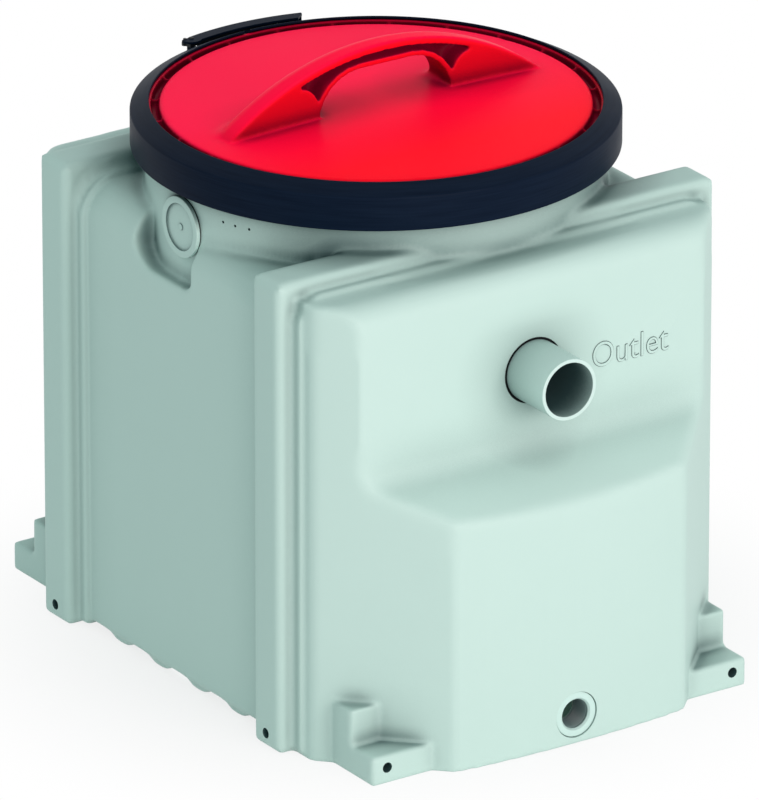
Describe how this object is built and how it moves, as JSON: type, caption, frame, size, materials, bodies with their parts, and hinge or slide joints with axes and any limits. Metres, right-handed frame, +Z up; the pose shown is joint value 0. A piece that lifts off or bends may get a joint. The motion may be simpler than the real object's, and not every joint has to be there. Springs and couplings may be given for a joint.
{
  "type": "grease trap",
  "caption": "Free-standing moulded grease trap with a round handled lid, a lever clamp ring, pipe stubs, a drain bush, a vent plug, dip pipe and a sludge bucket.",
  "frame": {"origin": "on the floor under the neck's axis, at the middle of the tank's plan", "axes": "+Z up, -Y out of the outlet, +X to the right when facing the outlet"},
  "size_m": [0.408, 0.556, 0.4973],
  "materials": {
    "tank_pe": "pale grey-green rotomoulded polyethylene, fine satin grain",
    "pipe_pe": "pale grey extruded polyethylene pipe",
    "lid_red": "signal red injection moulded plastic, satin gloss",
    "ring_black": "blue-black coated rolled steel",
    "rubber": "black EPDM rubber",
    "steel": "zinc plated steel wire and pins",
    "bush_pe": "turned grey polyethylene"
  },
  "bodies": {
    "tank": {"tank": "tank_pe", "outlet_pipe": "pipe_pe", "outlet_seal": "rubber", "outlet_tee": "pipe_pe", "outlet_dip_pipe": "pipe_pe", "inlet_pipe": "pipe_pe", "inlet_seal": "rubber", "inlet_elbow": "pipe_pe", "drain_bush": "bush_pe", "vent_plug": "tank_pe", "vent_seal": "rubber", "sludge_bucket": "pipe_pe"},
    "bail": {"bucket_bail": "steel"},
    "lid": {"lid": "lid_red", "lid_seal": "rubber"},
    "ring": {"clamp_ring": "ring_black", "hinge_bracket": "ring_black", "strike_bracket": "ring_black", "lever_pin": "steel", "bracket_rivets": "steel"},
    "lever": {"clamp_lever": "ring_black", "link_pins": "steel"},
    "link": {"clamp_link": "steel"}
  },
  "joints": [
    {"name": "lid_lift", "type": "slide", "parent": "tank", "child": "lid", "axis": [0, 0, 1], "range_m": [0, 0.25]},
    {"name": "ring_lift", "type": "slide", "parent": "lid", "child": "ring", "axis": [0, 0, 1], "range_m": [0, 0.15]},
    {"name": "lever_swing", "type": "hinge", "parent": "ring", "child": "lever", "pos_m": [-0.0434, 0.19575, 0.43], "axis": [0, 0, 1], "range_deg": [0, 160]},
    {"name": "link_swing", "type": "hinge", "parent": "lever", "child": "link", "pos_m": [-0.04857, 0.19689, 0.43], "axis": [0, 0, 1], "range_deg": [-30, 0]},
    {"name": "bail_swing", "type": "hinge", "parent": "tank", "child": "bail", "pos_m": [0, 0.095, 0.1808], "axis": [-1, 0, 0], "range_deg": [0, 95]}
  ],
  "couplings": [
    {"joint": "link_swing", "follows": "lever_swing", "ratio": -0.15}
  ]
}
